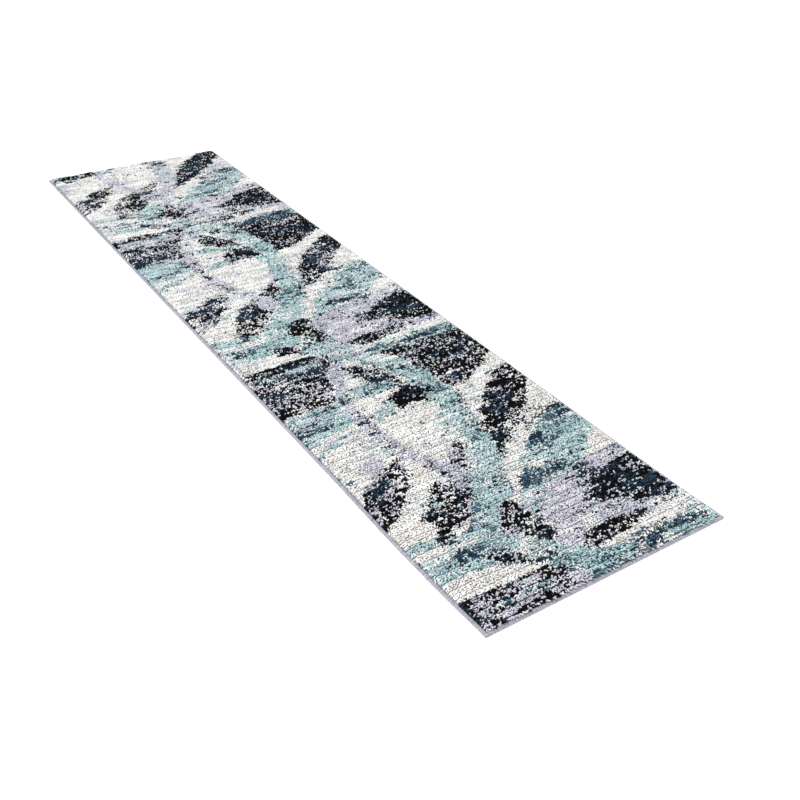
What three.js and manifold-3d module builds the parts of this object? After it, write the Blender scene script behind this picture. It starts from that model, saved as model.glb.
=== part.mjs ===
// Runner rug, machine woven, with serged edges.
// Frame: millimetres, +Z up, origin on the floor at the middle of the rug.
// X runs across the rug, Y along it. Each piece of the weave is one closed solid:
// the latex back coating, four yarn systems of the ground, six pile colours,
// and, round the rim, four serged edges, each over a filler cord.

import * as THREE from "three";
import Module from "manifold-3d";
import { mergeVertices } from "three/addons/utils/BufferGeometryUtils.js";

const wasm = await Module();
wasm.setup();

// Driving dimensions
const RUG_LENGTH = 2440;
const RUG_WIDTH = 610;
const PILE_HEIGHT = 8.6; // from the ground of the weave to the tips of the pile

const SIDE_SERGING_WIDTH = 8;
const END_SERGING_WIDTH = 10;
const SERGING_YARN = 1; // thickness of the wrapped yarn
const SERGING_ROUNDING = 2; // outer corners of the wrapped edge
const SIDE_CORD = 3; // filler cord diameters
const END_CORD = 4;
const CORD_CLEARANCE = 0.3;
const EDGE_CLEARANCE = 0.3; // between the serging and what it wraps or meets

// Thickness of each layer of the ground, from the floor up
const LATEX = 0.8;
const WEFT = 0.4;
const WARP = 0.3;
const BURIED_YARN = 0.35; // each pile colour where it lies in the ground
const LAYER_GAP = 0.1;

// The design repeats along the rug
const REPEAT_LENGTH = 880;
const DESIGN_WIDTH = 610; // width that the shapes of the design are drawn on
const COLOUR_GAP = 0.3; // between neighbouring pile colours
const ROOT_SIZE = 6; // the bundle that ties a face patch to its buried yarn
const ROOT_MARGIN = 1; // pile left standing round a root

// The colours with the fewest patches lie deepest
const COLOURS = {
  lavender: { colour: "#b5b2c2", buriedOrder: 0 },
  navy: { colour: "#2a3550", buriedOrder: 1 },
  teal: { colour: "#4f7a8a", buriedOrder: 2 },
  aqua: { colour: "#a9cdcf", buriedOrder: 3 },
  black: { colour: "#1b1a1e", buriedOrder: 4 },
  ivory: { colour: "#e9e6df", buriedOrder: 5 },
};

// Heights worked out from the layers
const latexTop = LATEX;
const lowerWeft = layer(latexTop, WEFT);
const chainWarp = layer(lowerWeft.top, WARP);
const stufferWarp = layer(chainWarp.top, WARP);
const upperWeft = layer(stufferWarp.top, WEFT);
const buried = [];
for (let order = 0; order < Object.keys(COLOURS).length; order += 1) {
  const below = order === 0 ? upperWeft.top : buried[order - 1].top;
  buried.push(layer(below, BURIED_YARN));
}
const groundTop = buried.at(-1).top;
const face = layer(groundTop, PILE_HEIGHT);

// The ground runs into the serging, and the pile and the latex stop short of it
const groundInset = (cord) => SERGING_YARN + cord + 2 * CORD_CLEARANCE;
const groundWidth = RUG_WIDTH - 2 * groundInset(SIDE_CORD);
const groundLength = RUG_LENGTH - 2 * groundInset(END_CORD);
const fieldWidth = RUG_WIDTH - 2 * (SIDE_SERGING_WIDTH + EDGE_CLEARANCE);
const fieldLength = RUG_LENGTH - 2 * (END_SERGING_WIDTH + EDGE_CLEARANCE);

function layer(below, thickness) {
  const bottom = below + LAYER_GAP;
  return { bottom, top: bottom + thickness };
}

// Turns a three.js geometry into a solid and back

function solidOf(geometry) {
  const bare = geometry.clone();
  bare.deleteAttribute("normal");
  bare.deleteAttribute("uv");
  const merged = mergeVertices(bare);
  const mesh = new wasm.Mesh({
    numProp: 3,
    vertProperties: new Float32Array(merged.attributes.position.array),
    triVerts: new Uint32Array(merged.index.array),
  });
  return new wasm.Manifold(mesh);
}

function geometryOf(solid) {
  const mesh = solid.getMesh();
  const geometry = new THREE.BufferGeometry();
  geometry.setAttribute("position", new THREE.BufferAttribute(mesh.vertProperties, 3));
  geometry.setIndex(new THREE.BufferAttribute(mesh.triVerts, 1));
  geometry.computeVertexNormals();
  return geometry;
}

function plate(width, length, { bottom, top }) {
  const box = new THREE.BoxGeometry(width, length, top - bottom);
  box.translate(0, 0, (bottom + top) / 2);
  return box;
}

function post(centre, size, { bottom, top }) {
  const box = new THREE.BoxGeometry(size, size, top - bottom);
  box.translate(centre.x, centre.y, (bottom + top) / 2);
  return solidOf(box);
}

function prism(outline, { bottom, top }) {
  const shape = new THREE.Shape(outline);
  const slab = new THREE.ExtrudeGeometry(shape, { depth: top - bottom, bevelEnabled: false });
  slab.translate(0, 0, bottom);
  return solidOf(slab);
}

// Outlines of the design, as lists of points that run anticlockwise.
// The first number is across the design from its left edge, the second along its repeat.

function patch(...corners) {
  return corners.map(([across, along]) => new THREE.Vector2(across, along));
}

function oval([across, along], halfLength, halfBreadth, turnDegrees = 0) {
  const points = 6;
  const curve = new THREE.EllipseCurve(
    across, along, halfLength, halfBreadth, 0, 2 * Math.PI, false, THREE.MathUtils.degToRad(turnDegrees));
  return curve.getPoints(points).slice(0, points);
}

// A leaf runs from one tip to the other; bend pushes its middle to the left of that line,
// and a skew under 1 moves its widest place towards the first tip.
function leaf(from, to, halfBreadth, bend = 0, skew = 1) {
  const steps = 4;
  const start = new THREE.Vector2(...from);
  const along = new THREE.Vector2(...to).sub(start);
  const left = new THREE.Vector2(-along.y, along.x).normalize();
  const at = (step, side) => {
    const t = step / steps;
    const breadth = halfBreadth * Math.sin(Math.PI * t ** skew);
    const offset = bend * Math.sin(Math.PI * t) + side * breadth;
    return start.clone().addScaledVector(along, t).addScaledVector(left, offset);
  };
  const outline = [];
  for (let step = 0; step <= steps; step += 1) outline.push(at(step, -1));
  for (let step = steps - 1; step > 0; step -= 1) outline.push(at(step, 1));
  return outline;
}

// A ribbon of constant breadth round part of a circle, angles from the across axis
function ribbon([across, along], radius, breadth, fromDegrees, toDegrees) {
  const steps = 5;
  const at = (step, reach) => {
    const angle = THREE.MathUtils.degToRad(fromDegrees + ((toDegrees - fromDegrees) * step) / steps);
    return new THREE.Vector2(across + reach * Math.cos(angle), along + reach * Math.sin(angle));
  };
  const outline = [];
  for (let step = 0; step <= steps; step += 1) outline.push(at(step, radius + breadth / 2));
  for (let step = steps; step >= 0; step -= 1) outline.push(at(step, radius - breadth / 2));
  return outline;
}

// The design in the order that it is laid down: each shape covers those before it.
// A third entry is the colour that the shape takes in the last repeat.
const DESIGN = [
  ["lavender", patch([272, 104], [300, 82], [610, 62], [610, 310], [430, 290], [310, 270], [285, 240])],
  ["ivory", patch([485, 312], [610, 330], [610, 400], [520, 372])],
  ["ivory", patch([385, 48], [610, 50], [610, 88], [385, 80])],
  ["ivory", oval([365, 140], 26, 12)],
  ["aqua", patch([262, 14], [610, 14], [610, 56], [400, 44], [270, 62])],
  ["teal", oval([500, 30], 92, 9)],
  ["aqua", patch([0, 128], [120, 128], [215, 150], [215, 206], [0, 206])],
  ["aqua", patch([0, 228], [100, 222], [200, 206], [300, 290], [310, 400], [262, 395], [140, 232], [0, 262])],
  ["teal", oval([95, 180], 56, 8)],
  ["black", leaf([112, 164], [212, 98], 19)],
  ["black", leaf([78, 226], [306, 492], 48, 0, 0.7)],
  ["lavender", oval([232, 374], 40, 21, 50)],
  ["black", leaf([-60, 290], [168, 510], 45)],
  ["navy", oval([70, 430], 42, 14, 36)],
  ["aqua", patch([0, 622], [60, 645], [132, 664], [152, 700], [146, 775], [0, 765])],
  ["teal", oval([62, 678], 48, 10)],
  ["aqua", leaf([-30, 572], [136, 640], 11)],
  ["aqua", leaf([178, 640], [266, 695], 15)],
  ["black", patch([0, 750], [185, 766], [200, 830], [225, 900], [258, 960], [0, 966])],
  ["aqua", patch([18, 914], [196, 914], [196, 930], [18, 930])],
  ["black", leaf([322, 744], [232, 892], 34)],
  ["black", patch([248, 656], [300, 672], [354, 646], [345, 700], [318, 740], [298, 728], [262, 690])],
  ["aqua", patch([198, 738], [250, 746], [300, 732], [316, 752], [240, 790], [200, 786])],
  ["teal", oval([252, 764], 42, 9, 10)],
  ["aqua", leaf([295, 252], [700, 509], 66)],
  ["teal", oval([420, 302], 64, 9, 10)],
  ["teal", oval([468, 378], 64, 11, 20)],
  ["teal", oval([560, 450], 42, 11, 14)],
  ["black", leaf([340, 388], [704, 744], 50, 22)],
  ["navy", oval([474, 564], 60, 20, 36)],
  ["black", leaf([400, 182], [800, 196], 79)],
  ["navy", oval([532, 178], 62, 20)],
  ["black", patch([412, 678], [455, 672], [505, 700], [610, 758], [610, 897], [328, 897], [380, 820])],
  ["navy", oval([474, 884], 112, 9)],
  ["navy", oval([508, 792], 90, 10)],
  ["navy", oval([466, 710], 40, 10, 10)],
  ["black", leaf([296, 82], [496, 98], 24, 0, 0.8)],
  ["lavender", ribbon([587, 655], 435, 34, 217, 137)],
  ["aqua", ribbon([-272, 690], 650, 68, -40, 0), "lavender"],
  ["aqua", ribbon([-2, 690], 380, 68, -1, 57), "lavender"],
  ["black", patch([255, 268], [194, 200], [248, 138], [268, 126], [282, 165], [282, 260])],
];

// Moves every side of an outline outwards; a sharp tip moves out a little less
function grown(outline, distance) {
  const sharpest = 0.3;
  const area = THREE.ShapeUtils.area(outline);
  return outline.map((point, index) => {
    const before = outline.at(index - 1);
    const after = outline[(index + 1) % outline.length];
    const first = outwards(before, point, area);
    const second = outwards(point, after, area);
    const stretch = Math.max(1 + first.dot(second), sharpest);
    return point.clone().addScaledVector(first.add(second), distance / stretch);
  });
}

function outwards(from, to, area) {
  const side = to.clone().sub(from).normalize();
  return new THREE.Vector2(side.y, -side.x).multiplyScalar(Math.sign(area));
}

function placed(outline, repeat) {
  const stretch = RUG_WIDTH / DESIGN_WIDTH;
  return outline.map(({ x, y }) => new THREE.Vector2(
    x * stretch - RUG_WIDTH / 2,
    y + repeat * REPEAT_LENGTH - RUG_LENGTH / 2,
  ));
}

// Lays the design down over the field, so that every place belongs to one colour
function colourRegions() {
  const field = solidOf(plate(fieldWidth, fieldLength, face));
  const nothing = field.subtract(field);
  const regions = {};
  for (const name of Object.keys(COLOURS)) regions[name] = name === "ivory" ? field : nothing;
  const repeats = Math.ceil(RUG_LENGTH / REPEAT_LENGTH);
  for (let repeat = -1; repeat < repeats; repeat += 1) {
    for (const [usualColour, outline, lastColour = usualColour] of DESIGN) {
      const colour = repeat === repeats - 1 ? lastColour : usualColour;
      const shape = placed(outline, repeat);
      const cutter = prism(grown(shape, COLOUR_GAP), { bottom: groundTop, top: face.top + LAYER_GAP });
      for (const name of Object.keys(COLOURS)) {
        if (name !== colour) regions[name] = regions[name].subtract(cutter);
      }
      regions[colour] = regions[colour].add(prism(shape, face).intersect(field));
    }
  }
  return regions;
}

// The sides round the top of a patch, as pairs of points
function rimOf(patchSolid) {
  const { vertProperties, triVerts } = patchSolid.getMesh();
  const isTop = (vertex) => vertProperties[3 * vertex + 2] > face.top - LAYER_GAP;
  const pointAt = (vertex) => new THREE.Vector2(vertProperties[3 * vertex], vertProperties[3 * vertex + 1]);
  const sides = new Map();
  for (let first = 0; first < triVerts.length; first += 3) {
    const corners = [triVerts[first], triVerts[first + 1], triVerts[first + 2]];
    if (!corners.every(isTop)) continue;
    corners.forEach((from, index) => {
      const to = corners[(index + 1) % corners.length];
      if (!sides.delete(`${to} ${from}`)) sides.set(`${from} ${to}`, [pointAt(from), pointAt(to)]);
    });
  }
  return [...sides.values()];
}

function isInside(point, rim) {
  const crossed = rim.filter(([from, to]) => {
    if (from.y > point.y === to.y > point.y) return false;
    return point.x < from.x + ((to.x - from.x) * (point.y - from.y)) / (to.y - from.y);
  });
  return crossed.length % 2 === 1;
}

function distanceToRim(point, rim) {
  return Math.min(...rim.map(([from, to]) => {
    const side = to.clone().sub(from);
    const share = THREE.MathUtils.clamp(point.clone().sub(from).dot(side) / side.lengthSq(), 0, 1);
    return point.distanceTo(from.clone().addScaledVector(side, share));
  }));
}

// The place in a patch that is farthest from its rim, tried on an even grid
function rootSeat(patchSolid) {
  const tries = 24;
  const rim = rimOf(patchSolid);
  const { min, max } = patchSolid.boundingBox();
  let best = { room: 0 };
  for (let column = 1; column < tries; column += 1) {
    for (let row = 1; row < tries; row += 1) {
      const point = new THREE.Vector2(
        THREE.MathUtils.lerp(min[0], max[0], column / tries),
        THREE.MathUtils.lerp(min[1], max[1], row / tries),
      );
      if (!isInside(point, rim)) continue;
      const room = distanceToRim(point, rim);
      if (room > best.room) best = { point, room };
    }
  }
  return best;
}

// Each colour: its face patches, a root under each, and its buried layer.
// A scrap of face too narrow for a root isn't woven.
function pileColours() {
  const regions = colourRegions();
  const leastRoom = ROOT_SIZE / Math.SQRT2 + ROOT_MARGIN;
  const pieces = {};
  const roots = [];
  for (const [name, { buriedOrder }] of Object.entries(COLOURS)) {
    let piece = solidOf(plate(groundWidth, groundLength, buried[buriedOrder]));
    for (const patchSolid of regions[name].decompose()) {
      const seat = rootSeat(patchSolid);
      if (seat.room < leastRoom) continue;
      piece = piece.add(patchSolid);
      roots.push({ centre: seat.point, buriedOrder });
    }
    pieces[name] = piece;
  }
  for (const { centre, buriedOrder } of roots) {
    const reach = { bottom: buried[buriedOrder].bottom, top: face.bottom + PILE_HEIGHT / 2 };
    for (const [name, other] of Object.entries(COLOURS)) {
      if (other.buriedOrder === buriedOrder) {
        pieces[name] = pieces[name].add(post(centre, ROOT_SIZE, reach));
      } else if (other.buriedOrder > buriedOrder) {
        const hole = { bottom: reach.bottom, top: groundTop + LAYER_GAP / 2 };
        pieces[name] = pieces[name].subtract(post(centre, ROOT_SIZE + 2 * COLOUR_GAP, hole));
      }
    }
  }
  return pieces;
}

// The space inside a wrapped edge: it takes in the ground and the cord, whichever is thicker
function wrapSpace(cord) {
  const bottom = latexTop;
  return { bottom, top: Math.max(face.bottom, bottom + cord + 2 * CORD_CLEARANCE) };
}

// Serged edge: a yarn wrap with a round back, open towards the field.
// The section is drawn with its outer side at x = 0 and the rug towards +x.
function sergingSection(width, cord) {
  const { bottom: wrapBottom, top: wrapTop } = wrapSpace(cord);
  const top = wrapTop + SERGING_YARN;
  const outline = new THREE.Shape();
  outline.moveTo(width, 0);
  outline.lineTo(width, wrapBottom);
  outline.lineTo(SERGING_YARN, wrapBottom);
  outline.lineTo(SERGING_YARN, wrapTop);
  outline.lineTo(width, wrapTop);
  outline.lineTo(width, top);
  outline.lineTo(SERGING_ROUNDING, top);
  outline.absarc(SERGING_ROUNDING, top - SERGING_ROUNDING, SERGING_ROUNDING, Math.PI / 2, Math.PI);
  outline.absarc(SERGING_ROUNDING, SERGING_ROUNDING, SERGING_ROUNDING, Math.PI, 1.5 * Math.PI);
  return outline;
}

function serging(width, cord, length) {
  const wrap = new THREE.ExtrudeGeometry(sergingSection(width, cord), {
    depth: length,
    bevelEnabled: false,
    curveSegments: 4,
  });
  wrap.rotateX(Math.PI / 2);
  wrap.translate(0, length / 2, 0);
  return wrap;
}

function fillerCord(diameter, length) {
  const sides = 12;
  const { bottom, top } = wrapSpace(diameter);
  const cord = new THREE.CylinderGeometry(diameter / 2, diameter / 2, length, sides);
  cord.translate(SERGING_YARN + CORD_CLEARANCE + diameter / 2, 0, (bottom + top) / 2);
  return cord;
}

// Materials and assembly

function yarn(colour, roughness = 0.95) {
  return new THREE.MeshStandardMaterial({ color: colour, roughness, metalness: 0 });
}

const rug = new THREE.Group();

function addPiece(name, geometry, material, parent = rug) {
  const mesh = new THREE.Mesh(geometry, material);
  mesh.name = name;
  parent.add(mesh);
}

const latex = yarn("#cfc8b8", 0.7);
const jute = yarn("#b79b6c");
const cotton = yarn("#d9d2c2");
const cordYarn = yarn("#c9c4b8");
const sergingYarn = yarn("#a9a6b8", 0.85);

addPiece("latex_back_coating", plate(fieldWidth, fieldLength, { bottom: 0, top: latexTop }), latex);
addPiece("lower_weft_shots", plate(groundWidth, groundLength, lowerWeft), jute);
addPiece("chain_warps", plate(groundWidth, groundLength, chainWarp), cotton);
addPiece("stuffer_warps", plate(groundWidth, groundLength, stufferWarp), cotton);
addPiece("upper_weft_shots", plate(groundWidth, groundLength, upperWeft), jute);

for (const [name, solid] of Object.entries(pileColours())) {
  addPiece(`pile_${name}`, geometryOf(solid), yarn(COLOURS[name].colour));
}

// The two end wraps run the whole width and the side wraps stop against them
const sideLength = fieldLength;
const endCordLength = RUG_WIDTH - 2 * CORD_CLEARANCE;

const EDGES = [
  { name: "left", turn: 0, reach: RUG_WIDTH / 2, width: SIDE_SERGING_WIDTH, cord: SIDE_CORD,
    wrapLength: sideLength, cordLength: sideLength },
  { name: "right", turn: Math.PI, reach: RUG_WIDTH / 2, width: SIDE_SERGING_WIDTH, cord: SIDE_CORD,
    wrapLength: sideLength, cordLength: sideLength },
  { name: "near_end", turn: Math.PI / 2, reach: RUG_LENGTH / 2, width: END_SERGING_WIDTH, cord: END_CORD,
    wrapLength: RUG_WIDTH, cordLength: endCordLength },
  { name: "far_end", turn: -Math.PI / 2, reach: RUG_LENGTH / 2, width: END_SERGING_WIDTH, cord: END_CORD,
    wrapLength: RUG_WIDTH, cordLength: endCordLength },
];

for (const { name, turn, reach, width, cord, wrapLength, cordLength } of EDGES) {
  const edge = new THREE.Group();
  edge.rotation.z = turn;
  edge.position.set(-reach * Math.cos(turn), -reach * Math.sin(turn), 0);
  addPiece(`serging_${name}`, serging(width, cord, wrapLength), sergingYarn, edge);
  addPiece(`filler_cord_${name}`, fillerCord(cord, cordLength), cordYarn, edge);
  rug.add(edge);
}

export default rug;
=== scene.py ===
"""A runner rug: curled cut pile in six yarn colours, wrapped edges and a woven ground backed with latex.

Lengths are in metres. X runs across the rug and Y along it, with the near end at the lowest Y.
"""
import math

import bpy
import numpy as np
from mathutils import Matrix, Vector
from mathutils.bvhtree import BVHTree


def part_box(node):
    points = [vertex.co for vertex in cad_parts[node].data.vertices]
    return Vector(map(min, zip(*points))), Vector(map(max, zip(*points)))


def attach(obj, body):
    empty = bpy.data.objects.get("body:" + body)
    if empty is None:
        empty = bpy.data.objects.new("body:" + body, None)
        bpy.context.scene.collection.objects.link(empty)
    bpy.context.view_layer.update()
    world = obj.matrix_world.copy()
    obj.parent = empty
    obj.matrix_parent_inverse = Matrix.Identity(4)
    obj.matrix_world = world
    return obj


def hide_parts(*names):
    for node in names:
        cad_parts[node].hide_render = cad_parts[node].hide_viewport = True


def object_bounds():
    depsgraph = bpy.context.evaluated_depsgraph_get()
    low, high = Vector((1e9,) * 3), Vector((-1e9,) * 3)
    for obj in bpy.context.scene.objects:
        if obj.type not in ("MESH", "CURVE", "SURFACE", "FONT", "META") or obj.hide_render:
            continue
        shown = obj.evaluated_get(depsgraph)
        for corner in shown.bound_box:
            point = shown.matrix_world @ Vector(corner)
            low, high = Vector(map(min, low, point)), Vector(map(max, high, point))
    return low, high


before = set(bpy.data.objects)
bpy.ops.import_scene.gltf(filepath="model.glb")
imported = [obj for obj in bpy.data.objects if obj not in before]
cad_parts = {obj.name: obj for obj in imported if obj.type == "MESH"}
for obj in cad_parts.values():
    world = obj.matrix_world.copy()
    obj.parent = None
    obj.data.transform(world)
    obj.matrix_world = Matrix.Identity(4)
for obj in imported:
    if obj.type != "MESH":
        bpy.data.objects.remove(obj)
cad_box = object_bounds()

MM = 0.001
CHANCE = np.random.default_rng(7)

# Pile
RIB_PITCH = 22 * MM          # the pile stands in ribs that run across the rug
ROWS_IN_A_RIB = 4
ROW_PITCH = 5.15 * MM        # between the rows of one rib, which leaves a groove between ribs
EDGE_GAP = 0.2 * MM          # from the wraps to the first strands
STRAND_PITCH = 2.45 * MM     # between strands in a row
STRAND_STRAY = (0.6 * MM, 0.9 * MM)  # how far a strand strays across and along the rug
ROW_STRAY = 1 * MM           # and how far it strays along the rug together with its neighbours
YARN_RADIUS = 1.45 * MM
LEAN_ALONG = 0.42            # strands bend over this many times as far along the rug as across it
GROOVE_DROP = 0.2            # how much lower the pile is beside a groove
LEAN_INTO_RIB = 0.7          # share of the strands beside a groove that bend away from it
EDGE_STRANDS = 7 * MM        # strands this near a side wrap bend away from it
EDGE_HEIGHT = 0.75           # and stand this much of the full height
END_STRANDS = 3.5 * MM       # strands this near an end wrap bend over it
LEAN_OVER_END = 1.5          # and lean this much more towards it than sideways
EDGE_SLOPE = 5 * MM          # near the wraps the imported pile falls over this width
EDGE_FOOT = 2.5 * MM         # to this much below the top of the wraps
PACKED_PILE = 5.2 * MM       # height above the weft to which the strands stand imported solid
THICKNESS_VARIES = (0.85, 1.12)
HEIGHT_VARIES = (0.86, 1)
FIRST_SLOPE = np.radians(84) # of a strand where it leaves its root
LAST_SLOPE = 25              # the most that its tip points up or down, in degrees
CURL = 2.2                   # how far a strand turns round on its way, in radians
CRIMP = 0.5                  # how far it waves from side to side, in radians
CRIMP_WAVES = 1.6            # how many times it does
FACES_IN_A_PIECE = 200_000

# Wrapped edges
SIDE_WRAP_WIDTH = 8 * MM
END_WRAP_WIDTH = 10 * MM
END_WRAP_CORNER = 4 * MM     # the ends of the end wraps are rounded over this length
SIDE_WRAP_CORNER = 0.3 * MM
SIDE_WRAP_OVERLAP = 2.5 * MM     # the side wraps run this far under the yarn of the end wraps
WRAP_PITCH = 2.4 * MM
WRAP_YARN_THICKNESS = 1 * MM
WRAP_YARN_WIDTH = 2.9 * MM
STITCH_PITCH = 7.2 * MM      # every third turn is drawn tighter
STITCH_TIGHTNESS = 0.09      # by this share of its width
WRAP_SQUARENESS = 0.7        # 1 is an oval, and less is nearer to a box
POINTS_IN_A_TURN = 14
SIDES_OF_WRAP_YARN = 6
CLOSING_TURNS = 6            # the flat spiral that closes each end
CLOSED_TO = 0.07             # shrinks to this share of the wrap's size

# Ground
GROUND_CELL = 12 * MM
LATEX_FOOT = 0.9 * MM        # the ground's edge lies this high inside the wraps
WEFT_WAVE = 7.3 * MM         # length of one wave of the weave along the rug
WARP_WAVE = 6.3 * MM         # and across it
PAINTED_SHADE_BESIDE_WRAP = 0.55     # painted shade: the roots beside the wraps are darkened by this factor, for the wraps' shadow

# How the rug lies: near one end it bows a little to the left
BOW = 3.5 * MM
BOW_CENTRE = 280 * MM
BOW_LENGTH = 170 * MM
BOW_LEFT_ON_RIGHT = 0.4      # share of the bow that the right edge has
CORNER_PULL = 3 * MM         # the corners of the near end are drawn to the right
CORNER_LENGTH = 70 * MM

# Studio
FLOOR_HALF = 200
LAMP_SIZE = 3
LAMP_POWER = 195
LAMP_PLACE = (-1.2, -0.4, 4)
CAMERA_PLACE = (-1.121, -2.114, 1.286)
CAMERA_HEADING = math.radians(34.73)     # from +Y towards +X
CAMERA_DOWN = math.radians(33.55)
CAMERA_ROLL = math.radians(2.16)
LENS_LENGTH = 44.54          # the focal length, in millimetres for a film of this width
FILM_WIDTH = 36
FARTHEST_SEEN = 600


def centre_and_size(*nodes):
    """The middle and the size of the box round some of the frame's nodes, as two arrays."""
    corners = [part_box(node) for node in nodes]
    low = np.min([np.array(corner[0]) for corner in corners], axis=0)
    high = np.max([np.array(corner[1]) for corner in corners], axis=0)
    return (low + high) / 2, high - low


RUG_LOW = np.array(cad_box[0])
RUG_HIGH = np.array(cad_box[1])
GROUND_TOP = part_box("upper_weft_shots")[1].z + PACKED_PILE
PILE_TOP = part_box("pile_ivory")[1].z
WRAP_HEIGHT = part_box("serging_left")[1].z
FIELD_CENTRE, FIELD_SIZE = centre_and_size("latex_back_coating")
GROUND_SIZE = centre_and_size("upper_weft_shots")[1]


def lie(points):
    """Moves points of the flat rug to where they lie on the floor."""
    from_end = points[..., 1] - RUG_LOW[1]
    bow = BOW * np.exp(-((from_end - BOW_CENTRE) / BOW_LENGTH) ** 2)
    pull = CORNER_PULL * np.exp(-((from_end / CORNER_LENGTH) ** 2))
    across = (points[..., 0] - RUG_LOW[0]) / (RUG_HIGH[0] - RUG_LOW[0])
    moved = points.copy()
    moved[..., 0] += pull - bow * (1 - (1 - BOW_LEFT_ON_RIGHT) * across)
    return moved


def packed_top(x, y):
    """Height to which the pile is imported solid: level inside, and falling beside the wraps."""
    from_side = FIELD_SIZE[0] / 2 - np.abs(x - FIELD_CENTRE[0])
    from_end = FIELD_SIZE[1] / 2 - np.abs(y - FIELD_CENTRE[1])
    inside = np.clip(np.minimum(from_side, from_end) / EDGE_SLOPE, 0, 1)
    foot = WRAP_HEIGHT - EDGE_FOOT
    return foot + (GROUND_TOP - foot) * inside


# Noise on the grid of strands


def smoothed(values, width, axis):
    """Values averaged over about that many neighbours along one axis, whose ends are taken as joined."""
    count = values.shape[axis]
    steps = np.fft.fftfreq(count, 1 / count)
    weights = np.exp(-0.5 * (steps / width) ** 2)
    shape = [1, 1]
    shape[axis] = -1
    spectrum = np.fft.rfft(weights / weights.sum()).reshape(shape)
    return np.fft.irfft(np.fft.rfft(values, axis=axis) * spectrum, count, axis=axis)


def streaks(shape, rows=0.0, columns=0.0):
    """Normal noise on the grid of strands, drawn out over that many rows and columns."""
    values = CHANCE.standard_normal(shape)
    if rows:
        values = smoothed(values, rows, 0)
    if columns:
        values = smoothed(values, columns, 1)
    return (values - values.mean()) / values.std()


def chances(shape):
    """Even chances from 0 to 1, much the same for strands that stand next to each other in a row."""
    spread = 1.7                 # with this the curve makes the chances of normal noise nearly even
    return 1 / (1 + np.exp(-spread * streaks(shape, columns=0.75)))


# Where each yarn colour shows


COLOURS = ["ivory", "aqua", "teal", "lavender", "black", "navy"]


def design_tree():
    """A search tree over the flat tops of the six colours, and the number of each face's colour."""
    places = []
    faces = []
    colour_of_face = []
    for number, colour in enumerate(COLOURS):
        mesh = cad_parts[f"pile_{colour}"].data
        first = len(places)
        places.extend(vertex.co.copy() for vertex in mesh.vertices)
        for face in mesh.polygons:
            faces_up = face.normal.z > 0.9
            if faces_up and face.center.z > PILE_TOP - MM:
                faces.append([first + vertex for vertex in face.vertices])
                colour_of_face.append(number)
    return BVHTree.FromPolygons(places, faces), np.array(colour_of_face)


DESIGN, COLOUR_OF_FACE = design_tree()


def design_at(x, y):
    """The number of the colour that the design has at each place."""
    found = [DESIGN.find_nearest((u, v, PILE_TOP))[2] for u, v in zip(x.ravel(), y.ravel())]
    return COLOUR_OF_FACE[found].reshape(x.shape)


# Each colour of the design is woven from one main yarn with others let in:
# guest yarn, its mean share, and how much it gathers in streaks
GUESTS = {
    "ivory": [("lavender", 0.10, 1.3), ("aqua", 0.07, 1.4), ("teal", 0.015, 1.9), ("black", 0.006, 1.6)],
    "aqua": [("ivory", 0.25, 1.1), ("teal", 0.18, 1.3), ("lavender", 0.10, 1.0), ("navy", 0.10, 1.5)],
    "teal": [("aqua", 0.30, 0.6), ("navy", 0.36, 0.9), ("ivory", 0.06, 0.6), ("lavender", 0.05, 0.5)],
    "lavender": [("ivory", 0.24, 0.9), ("aqua", 0.10, 1.1), ("navy", 0.12, 1.4), ("black", 0.03, 1.4),
                 ("teal", 0.05, 1.4)],
    "black": [("lavender", 0.24, 0.8), ("ivory", 0.16, 0.8), ("navy", 0.20, 1.3), ("aqua", 0.03, 1.2)],
    "navy": [("black", 0.42, 0.6), ("teal", 0.12, 0.8), ("lavender", 0.08, 0.7), ("ivory", 0.05, 0.6),
             ("aqua", 0.04, 0.6)],
}
MOST_GUESTS = 0.85
REPEAT_LENGTH = 880 * MM
# Places where one yarn is let in much more: its middle across the rug and from the near end, its reach
# both ways, its share (over 1 makes a wider solid patch), and whether it comes again in every repeat of
# the design. All lengths are in mm.
ACCENTS = [
    ("navy", (170, 32), (170, 15), 0.45, True),
    ("teal", (170, 36), (200, 22), 0.25, True),
    ("lavender", (-190, 22), (130, 26), 0.4, True),
    ("lavender", (-200, 835), (110, 70), 0.14, True),
    ("ivory", (-200, 835), (110, 70), 0.08, True),
    ("navy", (245, 470), (90, 22), 0.5, True),
    ("teal", (180, 430), (80, 30), 0.25, True),
    ("navy", (80, 302), (70, 18), 0.45, True),
    ("black", (5, 700), (50, 32), 0.6, True),
    ("navy", (30, 725), (40, 30), 0.4, True),
    ("black", (215, 180), (95, 55), 0.45, True),
    ("navy", (240, 200), (80, 50), 0.35, True),
    ("navy", (165, 520), (60, 70), 0.25, True),
    ("black", (-250, 2410), (66, 24), 1.6, False),
]
GUESTS_AT_LEFT = 1.3         # in the black, the share of guests falls from left to right
GUESTS_AT_RIGHT = 0.55
FINE_STREAK = (1.2, 6)       # rows and strands that a streak of guests takes up
BROAD_STREAK = (6, 14)
ACCENT_GATHERED = 0.9        # how much the accents gather in streaks
ACCENT_EVENED = 0.4          # keeps their mean share in spite of that


def accent_strength(x, y, middle, reach, repeated):
    """1 in the middle of an accent, falling to 0 round it."""
    across = x - middle[0] * MM
    along = y - RUG_LOW[1] - middle[1] * MM
    if repeated:
        along = (along + REPEAT_LENGTH / 2) % REPEAT_LENGTH - REPEAT_LENGTH / 2
    return np.exp(-((across / (reach[0] * MM)) ** 2) - (along / (reach[1] * MM)) ** 2)


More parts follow.
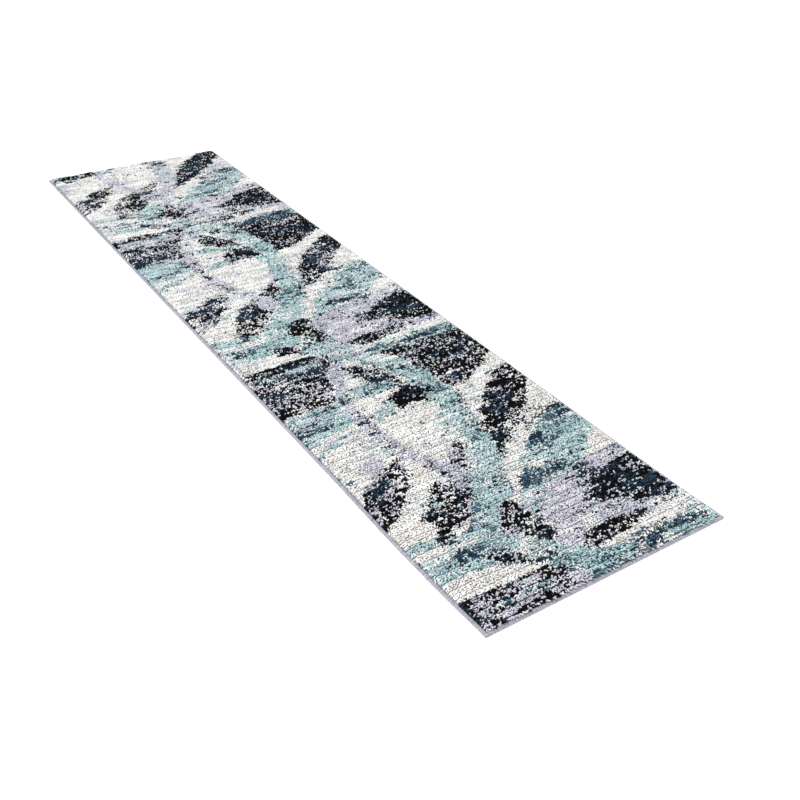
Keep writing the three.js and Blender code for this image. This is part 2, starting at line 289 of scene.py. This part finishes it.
def yarn_of_strands(design, x, y):
    """The yarn colour of each strand, from the design's colour there and the yarns let into it."""
    yarn = design.copy()
    shape = design.shape
    left_to_right = np.linspace(GUESTS_AT_LEFT, GUESTS_AT_RIGHT, shape[1])
    for name, guests in GUESTS.items():
        here = design == COLOURS.index(name)
        across = left_to_right if name == "black" else 1
        for guest, share, gathered in guests:
            field = 0.75 * streaks(shape, *FINE_STREAK) + 0.65 * streaks(shape, *BROAD_STREAK)
            likely = share * across * np.exp(gathered * field - gathered**2 / 2)
            taken = chances(shape) < np.minimum(likely, MOST_GUESTS)
            yarn[taken & here] = COLOURS.index(guest)
    for guest, middle, reach, share, repeated in ACCENTS:
        gathered = np.exp(ACCENT_GATHERED * streaks(shape, *FINE_STREAK) - ACCENT_EVENED)
        likely = share * gathered * accent_strength(x, y, middle, reach, repeated)
        taken = chances(shape) < np.minimum(likely, MOST_GUESTS)
        yarn[taken] = COLOURS.index(guest)
    return yarn


def strand_grid():
    """Where the strands stand, as rows across the rug, and each row's place in its rib, from -1 to 1."""
    half_rib = (ROWS_IN_A_RIB - 1) / 2 * ROW_PITCH
    first_middle = FIELD_CENTRE[1] - FIELD_SIZE[1] / 2 + EDGE_GAP + half_rib
    last_middle = 2 * FIELD_CENTRE[1] - first_middle
    ribs = round((last_middle - first_middle) / RIB_PITCH) + 1
    rib_middles = np.linspace(first_middle, last_middle, ribs)
    place_in_rib = np.linspace(-1, 1, ROWS_IN_A_RIB)
    y = (rib_middles[:, None] + place_in_rib[None, :] * half_rib).ravel()
    columns = round(FIELD_SIZE[0] / STRAND_PITCH)
    x = np.linspace(-0.5, 0.5, columns) * (FIELD_SIZE[0] - 2 * EDGE_GAP) + FIELD_CENTRE[0]
    shape = (len(y), columns)
    x = x[None, :] + CHANCE.normal(0, STRAND_STRAY[0], shape)
    y = y[:, None] + CHANCE.normal(0, STRAND_STRAY[1], shape) + ROW_STRAY * streaks(shape, 2, 5)
    return x, y, np.broadcast_to(np.tile(place_in_rib, ribs)[:, None], shape)


def ragged_design(x, y):
    """The design's colour at each strand, with edges that stray from row to row and strand to strand."""
    shape = x.shape
    row_by_row = streaks((shape[0], 1), rows=1) * 3 * MM
    streak_by_streak = streaks(shape, 1, 5) * 4.5 * MM
    stray_x = row_by_row + streak_by_streak + streaks(shape) * 3.5 * MM
    stray_y = streaks(shape, 0.8, 10) * 4 * MM + streaks(shape) * 2 * MM
    return design_at(x + stray_x, y + stray_y)


# Yarn strands


RING_AT = np.array([0, 0.48, 0.78, 1])     # along the strand, closer at the curled top
RING_RADIUS = np.array([1.35, 1.25, 1.12, 0.72])     # times the yarn's radius
TIP_LENGTH = 0.45            # of the point beyond the last ring, times the yarn's radius
SIDES = 4


def strand_lines(root, heading, curl, height, droop):
    """Centre points of curled strands: each climbs from its root, bends over and turns as it goes."""
    fine = np.linspace(0, 1, 26)
    middle = ((fine[1:] + fine[:-1]) / 2)[None, :]
    climb = FIRST_SLOPE - (FIRST_SLOPE + droop[:, None]) * middle ** 1.05
    crimp = CRIMP * np.sin(2 * np.pi * (CRIMP_WAVES * middle + heading[:, None]))
    bearing = heading[:, None] + curl[:, None] * (middle - 0.3) + crimp
    steps = np.stack(
        [np.cos(climb) * np.cos(bearing), np.cos(climb) * np.sin(bearing), np.sin(climb)], axis=-1
    )
    line = np.concatenate([np.zeros((len(root), 1, 3)), np.cumsum(steps, axis=1)], axis=1)
    line *= (height / line[..., 2].max(axis=1))[:, None, None]
    rounding = 1e-9
    at = np.searchsorted(fine, RING_AT - rounding)
    return root[:, None, :] + line[:, at, :]


def strand_vertices(line, radius):
    """Vertices round the centre lines, ring by ring, and one at each tip."""
    tangent = np.gradient(line, axis=1)
    tangent /= np.linalg.norm(tangent, axis=-1, keepdims=True)
    sideways = np.stack([-tangent[..., 1], tangent[..., 0], np.zeros(tangent.shape[:2])], axis=-1)
    sideways[:, 0] = sideways[:, 1]
    sideways /= np.linalg.norm(sideways, axis=-1, keepdims=True)
    upwards = np.cross(tangent, sideways)
    angle = np.arange(SIDES) / SIDES * 2 * np.pi
    spoke = radius[:, None, None, None] * RING_RADIUS[None, :, None, None]
    rings = line[:, :, None, :] + spoke * (
        np.cos(angle)[None, None, :, None] * sideways[:, :, None, :]
        + np.sin(angle)[None, None, :, None] * upwards[:, :, None, :]
    )
    tip = line[:, -1] + tangent[:, -1] * radius[:, None] * TIP_LENGTH
    return np.concatenate([rings.reshape(len(line), -1, 3), tip[:, None, :]], axis=1)


def strand_faces():
    """Corner lists of one strand's faces, and each corner's place along and round the yarn. The foot and
    the tip have places of their own below and above those of the sides."""
    faces = []
    places = []
    rings = len(RING_AT)
    ring_places = 0.03 + 0.85 * RING_AT
    for ring in range(rings - 1):
        low, high = ring_places[ring:ring + 2]
        for side in range(SIDES):
            after = (side + 1) % SIDES
            faces.append([ring * SIDES + side, ring * SIDES + after,
                          (ring + 1) * SIDES + after, (ring + 1) * SIDES + side])
            places.append([(low, side), (low, side + 1), (high, side + 1), (high, side)])
    last = (rings - 1) * SIDES
    tip_base, tip_point = 0.89, 0.98
    for side in range(SIDES):
        faces.append([last + side, last + (side + 1) % SIDES, rings * SIDES])
        places.append([(tip_base, side), (tip_base, side + 1), (tip_point, side + 0.5)])
    foot = 0.02
    faces.append(list(range(SIDES))[::-1])
    places.append([(foot, 0), (foot, SIDES), (0, SIDES), (0, 0)])
    return faces, places


def repeated_mesh(name, vertices, faces, places, attributes):
    """A mesh of many copies of one form. vertices is copies x vertices x 3, and each value of attributes
    is one number for every vertex."""
    copies, count = vertices.shape[:2]
    corners = np.concatenate([np.array(face) for face in faces])
    face_sizes = np.tile([len(face) for face in faces], copies)
    corner_vertices = (np.arange(copies)[:, None] * count + corners[None, :]).ravel()
    mesh = bpy.data.meshes.new(name)
    mesh.vertices.add(copies * count)
    mesh.vertices.foreach_set("co", vertices.astype(np.float32).ravel())
    mesh.loops.add(len(corner_vertices))
    mesh.loops.foreach_set("vertex_index", corner_vertices.astype(np.int32))
    mesh.polygons.add(len(face_sizes))
    starts = np.concatenate([[0], np.cumsum(face_sizes)[:-1]])
    mesh.polygons.foreach_set("loop_start", starts.astype(np.int32))
    mesh.update(calc_edges=True)
    mesh.shade_smooth()
    place = np.concatenate([np.array(face, float) for face in places])
    add_maps(mesh, place, copies)
    for label, values in attributes.items():
        layer = mesh.attributes.new(label, "FLOAT", "POINT")
        layer.data.foreach_set("value", np.broadcast_to(values, (copies, count)).astype(np.float32).ravel())
    return mesh


def add_maps(mesh, place, copies):
    """One map on which every copy has a cell of its own, and one that gives places on the yarn itself."""
    cells = math.ceil(math.sqrt(copies))
    margin = 0.06
    cell = np.arange(copies)
    corner = np.stack([cell % cells, cell // cells], axis=1)
    within = place / [1, SIDES] * (1 - 2 * margin) + margin
    spots = (corner[:, None, :] + within[None, :, :]) / cells
    mesh.uv_layers.new(name="OFBake").uv.foreach_set("vector", spots.astype(np.float32).ravel())
    on_yarn = np.tile(place, (copies, 1))
    mesh.uv_layers.new(name="Yarn").uv.foreach_set("vector", on_yarn.astype(np.float32).ravel())


def add_piece(name, mesh, finish, nodes):
    """A piece of the look with its material, which rides on the rug's body and replaces these nodes."""
    piece = bpy.data.objects.new(name, mesh)
    bpy.context.scene.collection.objects.link(piece)
    mesh.materials.append(finish)
    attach(piece, "root")
    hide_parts(*nodes)
    return piece


# Shader maths


class Wire:
    """The output of a shader node. Sums and products of it with wires or numbers add Math nodes."""

    def __init__(self, finish, socket):
        self.finish = finish
        self.socket = socket

    def joined(self, operation, first, second):
        return self.finish.node("ShaderNodeMath", {"operation": operation}, {0: first, 1: second})

    def __add__(self, other):
        return self.joined("ADD", self, other)

    def __radd__(self, other):
        return self.joined("ADD", other, self)

    def __sub__(self, other):
        return self.joined("SUBTRACT", self, other)

    def __mul__(self, other):
        return self.joined("MULTIPLY", self, other)


class Finish:
    """A material under construction."""

    def __init__(self, name):
        self.material = bpy.data.materials.new(name)
        self.material.use_nodes = True
        self.tree = self.material.node_tree
        self.tree.nodes.clear()

    def node(self, kind, settings, sockets, output=0):
        """Adds a node: first its settings, then the numbers or wires of its sockets."""
        made = self.tree.nodes.new(kind)
        for setting, value in settings.items():
            setattr(made, setting, value)
        for socket, value in sockets.items():
            if isinstance(value, Wire):
                self.tree.links.new(value.socket, made.inputs[socket])
            else:
                made.inputs[socket].default_value = value
        return Wire(self, made.outputs[output]) if made.outputs else None

    def attribute(self, name):
        return self.node("ShaderNodeAttribute", {"attribute_name": name}, {}, "Fac")

    def colour_attribute(self, name):
        return self.node("ShaderNodeAttribute", {"attribute_name": name}, {}, "Color")

    def split(self, vector):
        parts = self.node("ShaderNodeSeparateXYZ", {}, {0: vector})
        return [Wire(self, socket) for socket in parts.socket.node.outputs]

    def map_place(self, name):
        return self.node("ShaderNodeUVMap", {"uv_map": name}, {})

    def place(self):
        return self.node("ShaderNodeTexCoord", {}, {}, "Object")

    def wave(self, turns):
        """A smooth wave from -1 to 1, once for each whole turn."""
        return self.node("ShaderNodeMath", {"operation": "SINE"}, {0: turns * (2 * math.pi)})

    def limited(self, value):
        return self.node("ShaderNodeClamp", {}, {0: value})

    def noise(self, scale, detail=2.0, vector=None):
        sockets = {"Vector": vector or self.place(), "Scale": scale, "Detail": detail}
        return self.node("ShaderNodeTexNoise", {}, sockets)

    def blend(self, factor, first, second, way="MIX"):
        settings = {"data_type": "RGBA", "blend_type": way}
        return self.node("ShaderNodeMix", settings, {0: factor, 6: first, 7: second}, 2)

    def grey(self, value):
        """A grey colour as bright as the value."""
        return self.node("ShaderNodeCombineColor", {}, {0: value, 1: value, 2: value})

    def bump(self, height, distance, strength=1.0):
        sockets = {"Height": height, "Distance": distance, "Strength": strength}
        return self.node("ShaderNodeBump", {}, sockets)

    def done(self, **sockets):
        """Ends in one surface shader with these sockets, whose names have _ for a space."""
        named = {label.replace("_", " "): value for label, value in sockets.items()}
        surface = self.node("ShaderNodeBsdfPrincipled", {}, named)
        self.node("ShaderNodeOutputMaterial", {}, {"Surface": surface})
        return self.material


def tone(hexadecimal):
    """A colour given as red, green and blue in hexadecimal, as the shader's linear colour."""
    parts = [int(hexadecimal[start:start + 2], 16) / 255 for start in (0, 2, 4)]
    linear = [part / 12.92 if part <= 0.04045 else ((part + 0.055) / 1.055) ** 2.4 for part in parts]
    return (*linear, 1)


# Finishes


def pile_yarn(name, deep, pale):
    """Matt heat-set yarn: every strand has its own shade, two twisted plies and fine loose fibres, with
    painted shade that darkens it towards its root.
    """
    finish = Finish(f"pile_yarn_{name}")
    along, around, _ = finish.split(finish.map_place("Yarn"))
    ply = finish.wave(around * (2 / SIDES) + along * 3)
    fibres = finish.noise(1400)
    shade = finish.limited(finish.attribute("shade") + ply * 0.10 + (fibres - 0.5) * 0.5)
    colour = finish.blend(shade, tone(deep), tone(pale))
    # painted shade: the yarn is darkened towards its root, where the pile shades it; from about the middle
    # up it keeps its full colour
    painted_root_shade = finish.limited(0.88 + finish.attribute("along") * 0.3)
    colour = finish.blend(1.0, colour, finish.grey(painted_root_shade), "MULTIPLY")
    height = ply + fibres * 0.8
    return finish.done(
        Base_Color=colour,
        Roughness=0.9,
        Normal=finish.bump(height, 0.25 * MM, 0.6),
        Specular_IOR_Level=0.1,
    )


def wrap_yarn():
    """Satin yarn of the wrapped edges: fibres along each turn, and turns that differ in shade."""
    finish = Finish("wrap_yarn")
    on_yarn = finish.map_place("Yarn")
    turn, around, _ = finish.split(on_yarn)
    fibres = finish.wave(around * 3 + turn * 4)
    mottle = finish.noise(260)
    uneven = finish.noise(0.8, 2, on_yarn)
    shade = finish.limited(0.5 + fibres * 0.12 + (mottle - 0.5) * 0.9 + (uneven - 0.5) * 2.2)
    colour = finish.blend(shade, tone("686670"), tone("a7a5b1"))
    return finish.done(
        Base_Color=colour,
        Roughness=0.62,
        Normal=finish.bump(fibres * 0.5 + mottle, 0.2 * MM, 0.6),
        Specular_IOR_Level=0.4,
        Sheen_Weight=0.15,
        Sheen_Roughness=0.4,
    )


def woven_ground():
    """Woven jute under a thin latex coat below, and above it the roots of the pile colours, with painted
    shade beside the wraps.
    """
    finish = Finish("woven_ground")
    across, along, _ = finish.split(finish.place())
    weft = finish.wave(along * (1 / WEFT_WAVE))
    warp = finish.wave(across * (1 / WARP_WAVE))
    over = finish.limited(0.5 + weft * warp * 0.9)
    fibres = finish.noise(700, 4)
    jute = finish.blend(fibres, tone("8f7750"), tone("c3ab80"))
    latex = finish.blend(over, jute, tone("d6cfbe"))
    above = finish.attribute("above")
    # the root colours above carry painted shade beside the wraps
    colour = finish.blend(above, latex, finish.colour_attribute("root_colour_and_shade"))
    return finish.done(
        Base_Color=colour,
        Roughness=0.8,
        Normal=finish.bump(over + fibres * 0.4, 0.4 * MM, 0.7),
    )


def plain_floor():
    finish = Finish("plain_floor")
    white = (0.97, 0.97, 0.97, 1)
    return finish.done(
        Base_Color=white,
        Roughness=0.9,
        Specular_IOR_Level=0.1,
        Emission_Color=white,
        Emission_Strength=0.3,
    )


# Yarn colours, from the deepest to the palest strand of each
YARN_TONES = {
    "ivory": ("bdb9b4", "eaebea"),
    "aqua": ("829c9f", "b9cecf"),
    "teal": ("2b424f", "5d7b88"),
    "lavender": ("9997a4", "cfced7"),
    "black": ("020203", "0e0e10"),
    "navy": ("0f1822", "2e4257"),
}


# Pieces


def headings(x, y, side, at_side):
    """Which way each strand bends over, as an angle from +X towards +Y."""
    heading = CHANCE.uniform(0, 2 * np.pi, len(x))
    turned_in = (np.abs(side) == 1) & (CHANCE.random(len(x)) < LEAN_INTO_RIB)
    along_rug = np.where(turned_in, -side * np.abs(np.sin(heading)), np.sin(heading))
    to_middle = -np.sign(x - FIELD_CENTRE[0])
    across_rug = np.where(at_side, to_middle * np.abs(np.cos(heading)), np.cos(heading))
    from_centre = y - FIELD_CENTRE[1]
    at_end = np.abs(from_centre) > FIELD_SIZE[1] / 2 - END_STRANDS
    along_rug = np.where(at_end, np.sign(from_centre) * LEAN_OVER_END, along_rug * LEAN_ALONG)
    return np.arctan2(along_rug, across_rug)


def make_pile():
    """The pile: for each yarn colour, as many pieces as its number of faces calls for."""
    x, y, side = strand_grid()
    yarn = yarn_of_strands(ragged_design(x, y), x, y)
    shade = 0.5 + 0.14 * streaks(x.shape, 1, 4) + 0.17 * streaks(x.shape)
    x, y, side, yarn, shade = [values.ravel() for values in (x, y, side, yarn, np.clip(shade, 0, 1))]
    count = len(x)
    at_side = np.abs(x - FIELD_CENTRE[0]) > FIELD_SIZE[0] / 2 - EDGE_STRANDS
    heading = headings(x, y, side, at_side)
    root = np.stack([x, y, packed_top(x, y)], axis=1)
    radius = YARN_RADIUS * CHANCE.uniform(*THICKNESS_VARIES, count)
    full = PILE_TOP - root[:, 2] - radius
    height = full * (1 - GROOVE_DROP * side**2) * CHANCE.uniform(*HEIGHT_VARIES, count)
    height = np.where(at_side, EDGE_HEIGHT * height, height)
    curl = CHANCE.normal(0, CURL, count)
    droop = np.radians(CHANCE.uniform(-LAST_SLOPE, LAST_SLOPE, count))
    line = strand_lines(root, heading, curl, height, droop)
    along = np.concatenate([np.repeat(RING_AT, SIDES), [1]])
    faces, places = strand_faces()
    in_a_piece = FACES_IN_A_PIECE // sum(len(face) - 2 for face in faces)
    pieces = []
    for number, colour in enumerate(COLOURS):
        chosen = np.flatnonzero(yarn == number)
        chosen = chosen[np.argsort(y[chosen], kind="stable")]
        finish = pile_yarn(colour, *YARN_TONES[colour])
        parts = math.ceil(len(chosen) / in_a_piece)
        for part, members in enumerate(np.array_split(chosen, parts)):
            vertices = lie(strand_vertices(line[members], radius[members]))
            attributes = {"shade": shade[members, None], "along": along[None, :]}
            name = f"pile_{colour}_{part + 1}"
            mesh = repeated_mesh(name, vertices, faces, places, attributes)
            pieces.append(add_piece(name, mesh, finish, [f"pile_{colour}"]))
    return pieces


def wrap_mesh(length, width, corner):
    """Rings of vertices of yarn wound round an edge of that length, and the turn that each ring is at.
    The edge runs along Y with its outer side at x = 0, and gets thinner within the corner length.
    A flat spiral of yarn closes each end."""
    turns = round(length / WRAP_PITCH)
    first_point = -CLOSING_TURNS * POINTS_IN_A_TURN
    last_point = (turns + CLOSING_TURNS) * POINTS_IN_A_TURN
    turn = np.arange(first_point, last_point + 1) / POINTS_IN_A_TURN
    steps = len(turn)
    angle = 2 * np.pi * turn
    along = np.clip(turn, 0, turns)
    y = (along / turns - 0.5) * (length - WRAP_YARN_WIDTH)
    from_end = length / 2 - np.abs(y)
    rounding = np.sqrt(1 - (1 - np.clip(from_end / corner, 0, 1)) ** 2)
    rounding *= 1 - (1 - CLOSED_TO) * np.abs(turn - along) / CLOSING_TURNS
    tight = 1 - STITCH_TIGHTNESS * (0.5 + 0.5 * np.cos(2 * np.pi * y / STITCH_PITCH))
    half_width = (width - WRAP_YARN_THICKNESS) / 2 * rounding * tight
    half_height = (WRAP_HEIGHT - WRAP_YARN_THICKNESS) / 2 * rounding * tight

    def rounded(value):
        return np.sign(value) * np.abs(value) ** WRAP_SQUARENESS

    x = width / 2 - half_width * rounded(np.cos(angle))
    z = WRAP_HEIGHT / 2 + half_height * rounded(np.sin(angle))
    line = np.stack([x, y, z], axis=1)
    outwards = np.stack([x - width / 2, np.zeros(steps), z - WRAP_HEIGHT / 2], axis=1)
    tangent = np.gradient(line, axis=0)
    tangent[:, 1] = 0
    tangent /= np.linalg.norm(tangent, axis=1, keepdims=True)
    outwards -= (outwards * tangent).sum(axis=1, keepdims=True) * tangent
    outwards /= np.linalg.norm(outwards, axis=1, keepdims=True)
    spokes = np.arange(SIDES_OF_WRAP_YARN) / SIDES_OF_WRAP_YARN * 2 * np.pi
    ring = (
        np.cos(spokes)[None, :, None] * outwards[:, None, :] * WRAP_YARN_THICKNESS / 2
        + np.sin(spokes)[None, :, None] * np.array([0, 1, 0]) * WRAP_YARN_WIDTH / 2
    )
    vertices = line[:, None, :] + ring
    return vertices, turn


def tube_mesh(name, vertices, turn):
    """A closed tube through rings of vertices. Its first map has the yarn laid out in rows, with the two
    end caps as small spots over the last row. Its second map gives places on the yarn itself."""
    rings, sides = vertices.shape[:2]
    ring = np.repeat(np.arange(rings - 1), sides)
    side = np.tile(np.arange(sides), rings - 1)
    after = (side + 1) % sides
    quads = np.stack(
        [ring * sides + side, ring * sides + after, (ring + 1) * sides + after, (ring + 1) * sides + side],
        axis=1,
    )
    start_cap = list(range(sides))[::-1]
    end_cap = [(rings - 1) * sides + number for number in range(sides)]
    mesh = bpy.data.meshes.new(name)
    mesh.from_pydata(vertices.reshape(-1, 3), [], quads.tolist() + [start_cap, end_cap])
    mesh.shade_smooth()
    corner_ring = np.stack([ring, ring, ring + 1, ring + 1], axis=1)
    corner_side = np.stack([side, side + 1, side + 1, side], axis=1)
    on_yarn = np.stack([turn[corner_ring], corner_side / sides], axis=-1).reshape(-1, 2)
    cap_size = 0.002
    cap_spots = np.array([[math.cos(number), math.sin(number)] for number in range(sides)]) * cap_size
    on_yarn = np.concatenate([on_yarn, cap_spots + 0.5, cap_spots + 0.5])
    mesh.uv_layers.new(name="OFBake")
    rows = math.ceil(math.sqrt(rings / 3))
    in_a_row = math.ceil((rings - 1) / rows)
    row = ring // in_a_row
    low = (ring % in_a_row) / in_a_row
    high = low + 1 / in_a_row
    spot_x = np.stack([low, low, high, high], axis=1)
    row_start, row_height = 0.05, 0.8
    spot_y = (row[:, None] + row_start + row_height * corner_side / sides) / rows
    spots = np.stack([spot_x, spot_y], axis=-1).reshape(-1, 2)
    first_cap = cap_spots + [0.01, 0.995]
    second_cap = cap_spots + [0.03, 0.995]
    spots = np.concatenate([spots, first_cap, second_cap])
    mesh.uv_layers["OFBake"].uv.foreach_set("vector", spots.astype(np.float32).ravel())
    mesh.uv_layers.new(name="Yarn").uv.foreach_set("vector", on_yarn.astype(np.float32).ravel())
    return mesh


def make_wraps():
    """The four wrapped edges. Each is made along Y and turned to its own side."""
    finish = wrap_yarn()
    side = (SIDE_WRAP_WIDTH, SIDE_WRAP_CORNER, SIDE_WRAP_OVERLAP)
    end = (END_WRAP_WIDTH, END_WRAP_CORNER, 0)
    edges = [
        ("left", 0, RUG_LOW[0], side),
        ("right", 180, RUG_HIGH[0], side),
        ("near_end", 90, RUG_LOW[1], end),
        ("far_end", 270, RUG_HIGH[1], end),
    ]
    pieces = []
    for name, degrees, outer, (width, corner, overlap) in edges:
        low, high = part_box(f"serging_{name}")
        length = max(high.x - low.x, high.y - low.y) + 2 * overlap
        vertices, turn = wrap_mesh(length, width, corner)
        angle = math.radians(degrees)
        turned = vertices.copy()
        turned[..., 0] = vertices[..., 0] * math.cos(angle) - vertices[..., 1] * math.sin(angle)
        turned[..., 1] = vertices[..., 0] * math.sin(angle) + vertices[..., 1] * math.cos(angle)
        turned[..., 0 if degrees % 180 == 0 else 1] += outer
        mesh = tube_mesh(f"wrapped_edge_{name}", lie(turned), turn)
        nodes = [f"serging_{name}", f"filler_cord_{name}"]
        pieces.append(add_piece(f"wrapped_edge_{name}", mesh, finish, nodes))
    return pieces


def grid_lines(centre, size, edge):
    """Even lines across the field, one at each edge of the field and one at each edge of the ground."""
    inner = size / 2 - EDGE_SLOPE
    count = math.ceil(2 * inner / GROUND_CELL)
    even = np.linspace(-inner, inner, count + 1)
    return centre + np.concatenate([[-edge / 2, -size / 2], even, [size / 2, edge / 2]])


def make_ground():
    """The woven ground with its latex, as one closed slab whose edges lie inside the wraps."""
    xs = grid_lines(FIELD_CENTRE[0], FIELD_SIZE[0], GROUND_SIZE[0])
    ys = grid_lines(FIELD_CENTRE[1], FIELD_SIZE[1], GROUND_SIZE[1])
    x, y = np.meshgrid(xs, ys)
    rim = np.ones(x.shape, bool)
    rim[1:-1, 1:-1] = False
    top = packed_top(x, y)
    bottom = np.where(rim, LATEX_FOOT, 0)
    rows, columns = x.shape
    number = np.arange(rows * columns).reshape(rows, columns)
    layer = rows * columns
    upper = np.stack([number[:-1, :-1], number[:-1, 1:], number[1:, 1:], number[1:, :-1]], axis=-1)
    faces = upper.reshape(-1, 4).tolist() + (upper[..., ::-1] + layer).reshape(-1, 4).tolist()
    round_it = np.concatenate([number[0, :-1], number[:-1, -1], number[-1, :0:-1], number[:0:-1, 0]])
    ahead = np.roll(round_it, -1)
    faces += np.stack([round_it, round_it + layer, ahead + layer, ahead], axis=1).tolist()
    places = np.concatenate([
        np.stack([x, y, top], axis=-1).reshape(-1, 3),
        np.stack([x, y, bottom], axis=-1).reshape(-1, 3),
    ])
    mesh = bpy.data.meshes.new("woven_ground")
    mesh.from_pydata(lie(places), [], faces)
    design = design_at(x, y).ravel()
    root_tones = np.array([tone(YARN_TONES[colour][0]) for colour in COLOURS])
    # painted shade: the roots on the two outermost grid lines beside the wraps are darkened, for the wraps'
    # shadow
    beside_wrap = np.ones(x.shape, bool)
    beside_wrap[2:-2, 2:-2] = False      # which leaves the two outermost lines on each side
    root_colour_and_shade = root_tones[design] * np.where(beside_wrap, PAINTED_SHADE_BESIDE_WRAP, 1).reshape(-1, 1)
    root_colour_and_shade = np.concatenate([root_colour_and_shade, root_colour_and_shade])
    layer_colour = mesh.attributes.new("root_colour_and_shade", "FLOAT_COLOR", "POINT")
    layer_colour.data.foreach_set("color", root_colour_and_shade.astype(np.float32).ravel())
    above = mesh.attributes.new("above", "FLOAT", "POINT")
    above.data.foreach_set("value", np.repeat([1.0, 0.0], layer).astype(np.float32))
    nodes = ["latex_back_coating", "lower_weft_shots", "upper_weft_shots", "chain_warps", "stuffer_warps"]
    return add_piece("woven_ground", mesh, woven_ground(), nodes)


def make_floor():
    """A plain white floor that reaches far past the view."""
    half = FLOOR_HALF
    mesh = bpy.data.meshes.new("floor")
    corners = [(-half, -half, 0), (half, -half, 0), (half, half, 0), (-half, half, 0)]
    mesh.from_pydata(corners, [], [(0, 1, 2, 3)])
    mesh.materials.append(plain_floor())
    floor = bpy.data.objects.new("floor", mesh)
    bpy.context.scene.collection.objects.link(floor)


def make_light():
    """An even white sky and one large soft lamp high on the left."""
    world = bpy.data.worlds.new("studio")
    world.use_nodes = True
    background = world.node_tree.nodes["Background"]
    background.inputs["Color"].default_value = (1, 1, 1, 1)
    background.inputs["Strength"].default_value = 1
    bpy.context.scene.world = world
    lamp = bpy.data.lights.new("overhead_softbox", "AREA")
    lamp.shape = "SQUARE"
    lamp.size = LAMP_SIZE
    lamp.energy = LAMP_POWER
    softbox = bpy.data.objects.new("overhead_softbox", lamp)
    softbox.location = LAMP_PLACE
    aim = Vector((0, 0, 0)) - softbox.location
    softbox.rotation_euler = aim.to_track_quat("-Z", "Y").to_euler()
    bpy.context.scene.collection.objects.link(softbox)
    bpy.context.scene.view_settings.view_transform = "Standard"


def make_camera():
    """Stands at the near left corner and looks down along the rug."""
    lens = bpy.data.cameras.new("camera")
    lens.lens = LENS_LENGTH
    lens.sensor_width = FILM_WIDTH
    lens.clip_end = FARTHEST_SEEN
    camera = bpy.data.objects.new("camera", lens)
    forward = Vector((math.sin(CAMERA_HEADING), math.cos(CAMERA_HEADING), 0))
    ahead = forward * math.cos(CAMERA_DOWN) - Vector((0, 0, math.sin(CAMERA_DOWN)))
    level = Vector((math.cos(CAMERA_HEADING), -math.sin(CAMERA_HEADING), 0))
    over = level.cross(ahead)
    right = level * math.cos(CAMERA_ROLL) + over * math.sin(CAMERA_ROLL)
    above = over * math.cos(CAMERA_ROLL) - level * math.sin(CAMERA_ROLL)
    turned = Matrix((right, above, -ahead)).transposed().to_4x4()
    camera.matrix_world = Matrix.Translation(CAMERA_PLACE) @ turned
    bpy.context.scene.collection.objects.link(camera)
    bpy.context.scene.camera = camera


make_camera()
make_light()
make_floor()
ground = make_ground()
wraps = make_wraps()
pile = make_pile()
